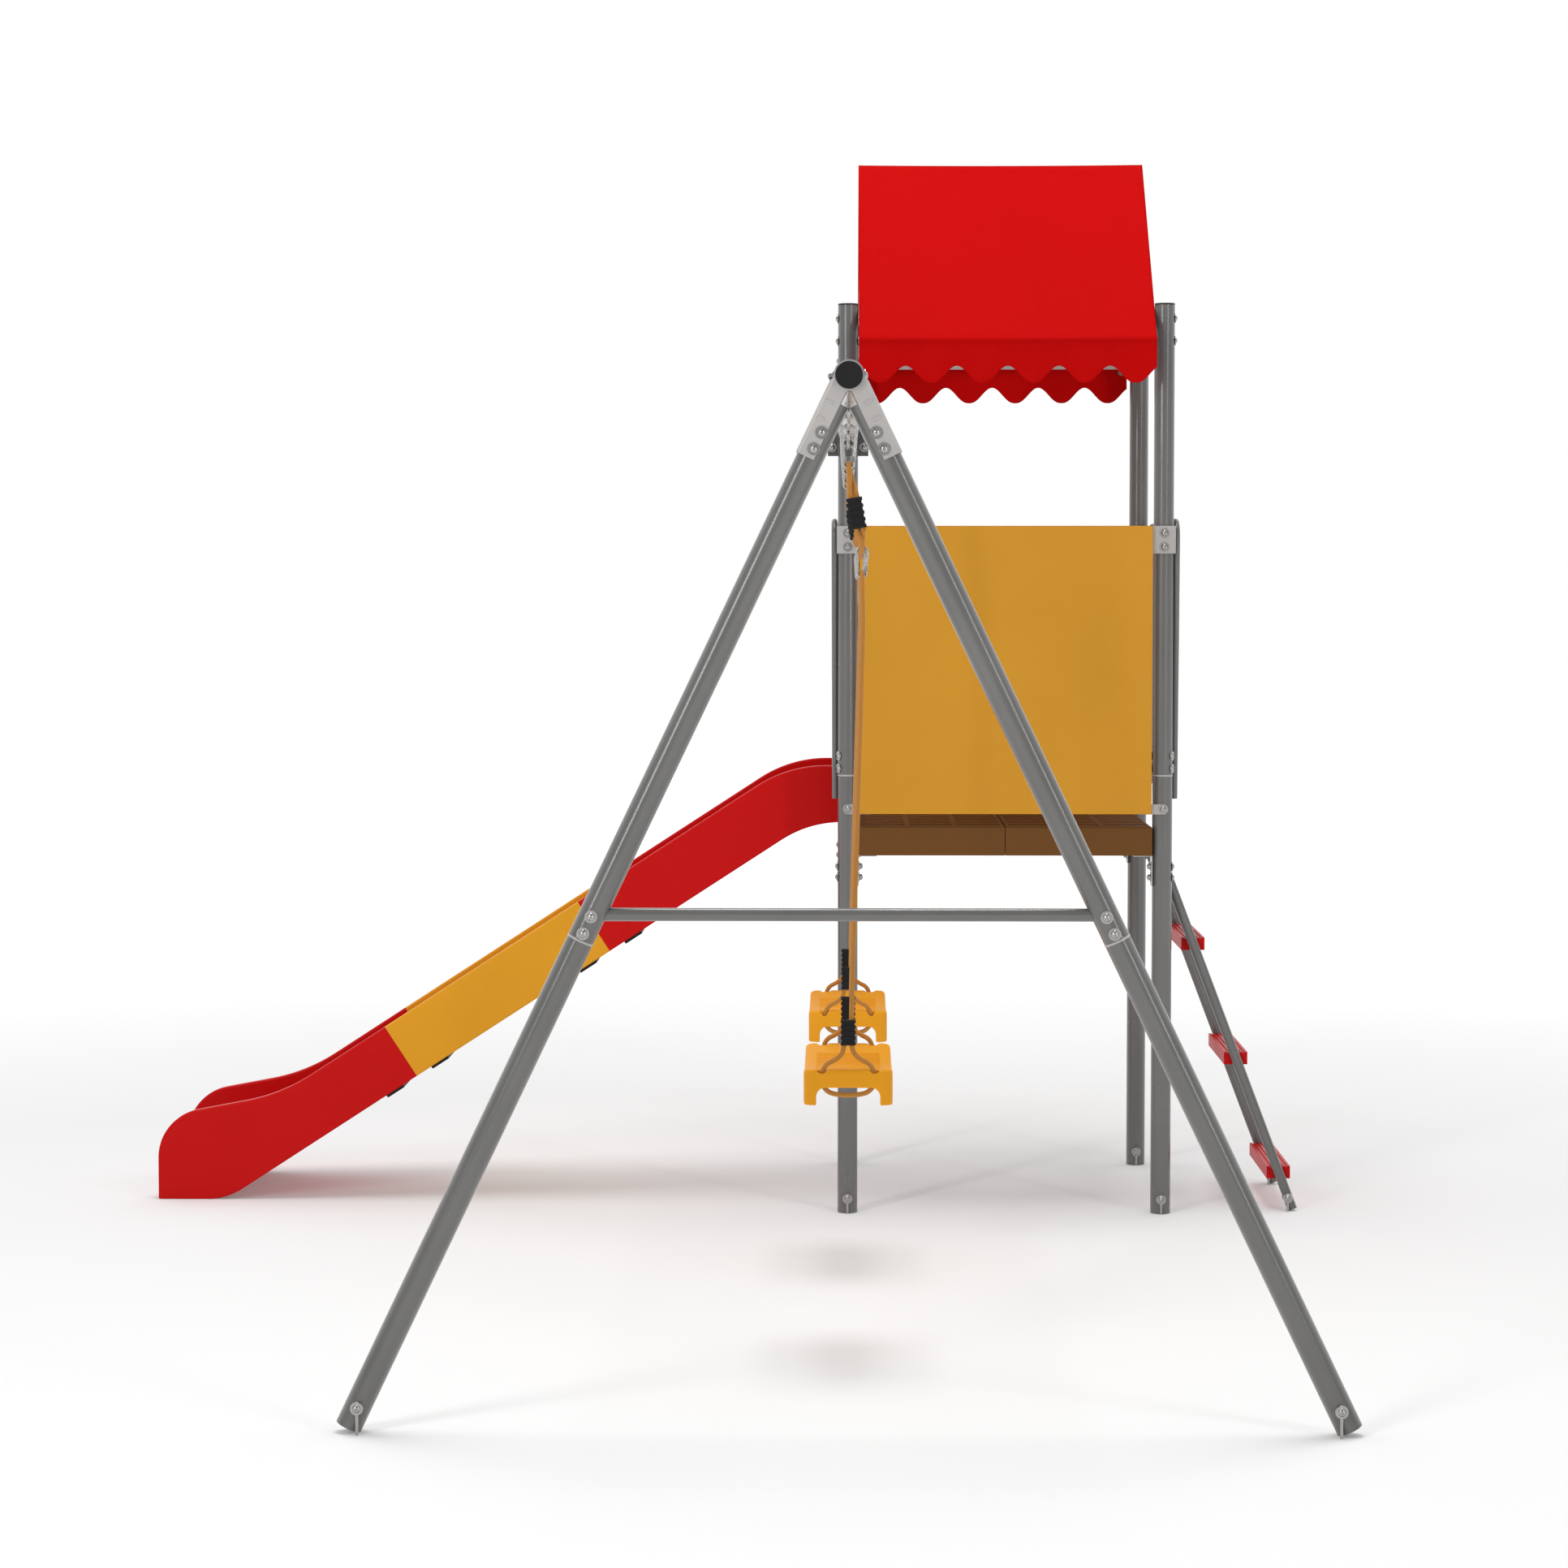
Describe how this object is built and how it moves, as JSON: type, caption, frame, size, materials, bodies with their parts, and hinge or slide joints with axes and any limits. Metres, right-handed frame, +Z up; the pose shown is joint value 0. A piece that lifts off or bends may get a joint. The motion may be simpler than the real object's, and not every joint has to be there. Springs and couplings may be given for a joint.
{
  "type": "swing set",
  "caption": "Garden play set: a steel A-frame swing bay with flat seats on ropes, and a roofed tower with deck, slide and ladder.",
  "frame": {"origin": "middle of the footprint's bounding rectangle, at ground level", "axes": "+Z up; +Y along the swing beam from the A-frame to the tower; the slide runs down towards -X and the ladder towards +X"},
  "size_m": [2.956, 3.419, 2.708],
  "materials": {
    "grey_steel": "semi-gloss powder coat",
    "bracket_steel": "light grey powder coat",
    "dark_steel": "dark powder coat",
    "zinc_steel": "bright zinc plate",
    "black_plastic": "moulded, matt",
    "brown_plastic": "moulded, fine grain",
    "yellow_panel": "smooth sheet",
    "red_fabric": "coated plain weave",
    "red_plastic": "moulded, satin gloss",
    "yellow_plastic": "moulded, satin gloss",
    "rope": "braided"
  },
  "bodies": {
    "play_set": {"a_frame_crossbar": "grey_steel", "a_leg_lower_left": "grey_steel", "a_leg_lower_right": "grey_steel", "a_leg_upper_left": "grey_steel", "a_leg_upper_right": "grey_steel", "apex_bracket": "bracket_steel", "beam_bracket_back": "bracket_steel", "beam_bracket_front": "dark_steel", "canopy": "red_fabric", "deck_module_left": "brown_plastic", "deck_module_right": "brown_plastic", "entrance_hoop_ladder": "grey_steel", "entrance_hoop_slide": "grey_steel", "frame_bolts": "zinc_steel", "ground_anchors": "zinc_steel", "ladder_stringer_back": "grey_steel", "ladder_stringer_front": "grey_steel", "ladder_tread_bottom": "red_plastic", "ladder_tread_middle": "red_plastic", "ladder_tread_top": "red_plastic", "panel_back": "yellow_panel", "panel_front": "yellow_panel", "post_lower_back_left": "grey_steel", "post_lower_back_right": "grey_steel", "post_lower_front_left": "grey_steel", "post_lower_front_right": "grey_steel", "post_upper_back_left": "grey_steel", "post_upper_back_right": "grey_steel", "post_upper_front_left": "grey_steel", "post_upper_front_right": "grey_steel", "roof_bars": "bracket_steel", "roof_bow_left": "grey_steel", "roof_bow_right": "grey_steel", "slide_clips": "black_plastic", "slide_section_bottom": "red_plastic", "slide_section_middle": "yellow_plastic", "slide_section_top": "red_plastic", "swing_beam": "grey_steel", "swing_hangers": "zinc_steel", "tower_bolts": "zinc_steel", "tower_brackets": "bracket_steel", "tube_caps": "black_plastic"},
    "swing_1": {"swing_1_clamps": "black_plastic", "swing_1_hooks": "zinc_steel", "swing_1_rope_back": "rope", "swing_1_rope_front": "rope", "swing_1_seat": "yellow_plastic", "swing_1_sling_back": "rope", "swing_1_sling_front": "rope"},
    "swing_2": {"swing_2_clamps": "black_plastic", "swing_2_hooks": "zinc_steel", "swing_2_rope_back": "rope", "swing_2_rope_front": "rope", "swing_2_seat": "yellow_plastic", "swing_2_sling_back": "rope", "swing_2_sling_front": "rope"},
    "swing_1_gate_back": {"swing_1_gate_back": "zinc_steel"},
    "swing_1_gate_front": {"swing_1_gate_front": "zinc_steel"},
    "swing_2_gate_back": {"swing_2_gate_back": "zinc_steel"},
    "swing_2_gate_front": {"swing_2_gate_front": "zinc_steel"}
  },
  "joints": [
    {"name": "swing_1_pivot", "type": "hinge", "parent": "play_set", "child": "swing_1", "pos_m": [0.324, -0.9505, 1.9205], "axis": [0, 1, 0], "range_deg": [-60, 60]},
    {"name": "swing_1_gate_front_hinge", "type": "hinge", "parent": "swing_1", "child": "swing_1_gate_front", "pos_m": [0.3336, -1.1615, 1.8525], "axis": [0, 1, 0], "range_deg": [-20, 0], "stiffness_Nm_per_rad": 0.1, "springref_deg": 5.73},
    {"name": "swing_1_gate_back_hinge", "type": "hinge", "parent": "swing_1", "child": "swing_1_gate_back", "pos_m": [0.3336, -0.7395, 1.8525], "axis": [0, 1, 0], "range_deg": [-20, 0], "stiffness_Nm_per_rad": 0.1, "springref_deg": 5.73},
    {"name": "swing_2_pivot", "type": "hinge", "parent": "play_set", "child": "swing_2", "pos_m": [0.324, 0.0895, 1.9205], "axis": [0, 1, 0], "range_deg": [-60, 60]},
    {"name": "swing_2_gate_front_hinge", "type": "hinge", "parent": "swing_2", "child": "swing_2_gate_front", "pos_m": [0.3336, -0.1215, 1.8525], "axis": [0, 1, 0], "range_deg": [-20, 0], "stiffness_Nm_per_rad": 0.1, "springref_deg": 5.73},
    {"name": "swing_2_gate_back_hinge", "type": "hinge", "parent": "swing_2", "child": "swing_2_gate_back", "pos_m": [0.3336, 0.3005, 1.8525], "axis": [0, 1, 0], "range_deg": [-20, 0], "stiffness_Nm_per_rad": 0.1, "springref_deg": 5.73}
  ]
}
